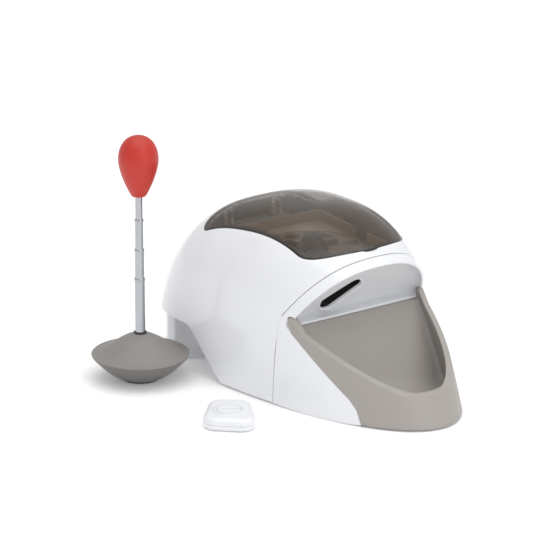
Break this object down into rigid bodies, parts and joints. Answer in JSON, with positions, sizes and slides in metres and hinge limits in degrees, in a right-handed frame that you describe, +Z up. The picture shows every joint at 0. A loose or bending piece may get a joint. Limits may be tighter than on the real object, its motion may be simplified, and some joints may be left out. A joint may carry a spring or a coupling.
{
  "type": "remote treat dispenser",
  "caption": "Helmet-shaped treat dispenser with a smoked lid, front bowl and disk feeder, with its telescopic target wand and two-button hand remote.",
  "frame": {"origin": "middle of the base tray's underside, on the dispenser's middle plane, midway between nose and tail", "axes": "nose and bowl towards -Y, tail towards +Y, +Z up, wand and remote on the -X side; the rubber feet reach 1.5 mm below the origin"},
  "size_m": [0.3187, 0.3971, 0.2685],
  "materials": {
    "white_shell": "glossy moulded ABS",
    "grey_bowl": "satin moulded plastic, warm grey",
    "smoked_lid": "smoked clear polycarbonate",
    "inner_plastic": "natural satin plastic",
    "dark_plastic": "black satin plastic",
    "steel": "plain steel",
    "chrome_tube": "bright chrome plate",
    "red_tip": "glossy red moulded plastic",
    "rubber": "soft black rubber",
    "circuit": "green glass-epoxy board",
    "cell_jacket": "printed-plain jacket"
  },
  "bodies": {
    "dispenser": {"main_housing": "white_shell", "front_bezel": "white_shell", "food_bowl": "grey_bowl", "base_tray": "grey_bowl", "hinge_bracket": "inner_plastic", "hinge_pins": "steel", "hopper": "inner_plastic", "pocket_guard": "dark_plastic", "motor_bracket": "inner_plastic", "gear_motor": "steel", "treat_chute": "dark_plastic", "treat_sensors": "dark_plastic", "battery_cells": "cell_jacket", "battery_contacts": "steel", "main_board": "circuit", "radio_module": "steel", "speaker": "dark_plastic", "control_panel": "grey_bowl", "display_window": "smoked_lid", "display_module": "dark_plastic", "panel_board": "circuit", "rubber_feet": "rubber", "shell_screws": "steel"},
    "lid": {"lid": "smoked_lid", "lid_hinge_arms": "smoked_lid"},
    "disk_drive": {"dispensing_disk": "dark_plastic", "stirrer_cap": "dark_plastic", "drive_shaft": "steel", "drive_gear": "inner_plastic"},
    "pinion": {"motor_pinion": "inner_plastic"},
    "battery_door": {"battery_door": "grey_bowl"},
    "menu_key": {"menu_key": "dark_plastic"},
    "up_key": {"up_key": "dark_plastic"},
    "down_key": {"down_key": "dark_plastic"},
    "enter_key": {"enter_key": "dark_plastic"},
    "power_switch": {"power_switch": "dark_plastic"},
    "wand": {"wand_foot": "grey_bowl", "wand_ballast": "steel", "wand_pad": "rubber", "wand_socket": "dark_plastic", "tube_lower": "chrome_tube"},
    "wand_middle": {"tube_middle": "chrome_tube"},
    "wand_upper": {"tube_upper": "chrome_tube"},
    "wand_tip": {"tip_rod": "chrome_tube", "target_tip": "red_tip"},
    "remote": {"remote_top": "white_shell", "remote_bottom": "white_shell", "remote_board": "circuit", "remote_cell": "steel", "remote_screw": "steel"},
    "treat_button": {"treat_button": "white_shell"},
    "hold_button": {"hold_button": "white_shell"}
  },
  "joints": [
    {"name": "lid_hinge", "type": "hinge", "parent": "dispenser", "child": "lid", "pos_m": [0, 0.131, 0.153], "axis": [-1, 0, 0], "range_deg": [0, 95]},
    {"name": "disk_spin", "type": "hinge", "parent": "dispenser", "child": "disk_drive", "pos_m": [0, 0.022, 0.13], "axis": [0, 0, 1], "continuous": true},
    {"name": "pinion_spin", "type": "hinge", "parent": "dispenser", "child": "pinion", "pos_m": [0, 0.05515, 0.115], "axis": [0, 0, 1], "continuous": true},
    {"name": "battery_door_slide", "type": "slide", "parent": "dispenser", "child": "battery_door", "axis": [0, 1, 0], "range_m": [0, 0.008]},
    {"name": "menu_key_press", "type": "slide", "parent": "dispenser", "child": "menu_key", "axis": [0, -0.9245, -0.3811], "range_m": [0, 0.001], "stiffness_N_per_m": 300, "springref_m": -0.001},
    {"name": "up_key_press", "type": "slide", "parent": "dispenser", "child": "up_key", "axis": [0, -0.9245, -0.3811], "range_m": [0, 0.001], "stiffness_N_per_m": 300, "springref_m": -0.001},
    {"name": "down_key_press", "type": "slide", "parent": "dispenser", "child": "down_key", "axis": [0, -0.9245, -0.3811], "range_m": [0, 0.001], "stiffness_N_per_m": 300, "springref_m": -0.001},
    {"name": "enter_key_press", "type": "slide", "parent": "dispenser", "child": "enter_key", "axis": [0, -0.9245, -0.3811], "range_m": [0, 0.001], "stiffness_N_per_m": 300, "springref_m": -0.001},
    {"name": "power_switch_slide", "type": "slide", "parent": "dispenser", "child": "power_switch", "axis": [-1, 0, 0], "range_m": [0, 0.005]},
    {"name": "wand_lift", "type": "slide", "parent": "dispenser", "child": "wand", "axis": [0, 0, 1], "range_m": [0, 0.25]},
    {"name": "middle_tube_slide", "type": "slide", "parent": "wand", "child": "wand_middle", "axis": [0, 0, 1], "range_m": [-0.028, 0.035]},
    {"name": "upper_tube_slide", "type": "slide", "parent": "wand_middle", "child": "wand_upper", "axis": [0, 0, 1], "range_m": [-0.028, 0.035]},
    {"name": "tip_rod_slide", "type": "slide", "parent": "wand_upper", "child": "wand_tip", "axis": [0, 0, 1], "range_m": [-0.02, 0.035]},
    {"name": "remote_lift", "type": "slide", "parent": "dispenser", "child": "remote", "axis": [0, 0, 1], "range_m": [0, 0.2]},
    {"name": "treat_button_press", "type": "slide", "parent": "remote", "child": "treat_button", "axis": [0, 0, -1], "range_m": [0, 0.0008], "stiffness_N_per_m": 300, "springref_m": -0.001},
    {"name": "hold_button_press", "type": "slide", "parent": "remote", "child": "hold_button", "axis": [0, 0, -1], "range_m": [0, 0.0008], "stiffness_N_per_m": 300, "springref_m": -0.001}
  ],
  "couplings": [
    {"joint": "pinion_spin", "follows": "disk_spin", "ratio": -2.6667}
  ]
}
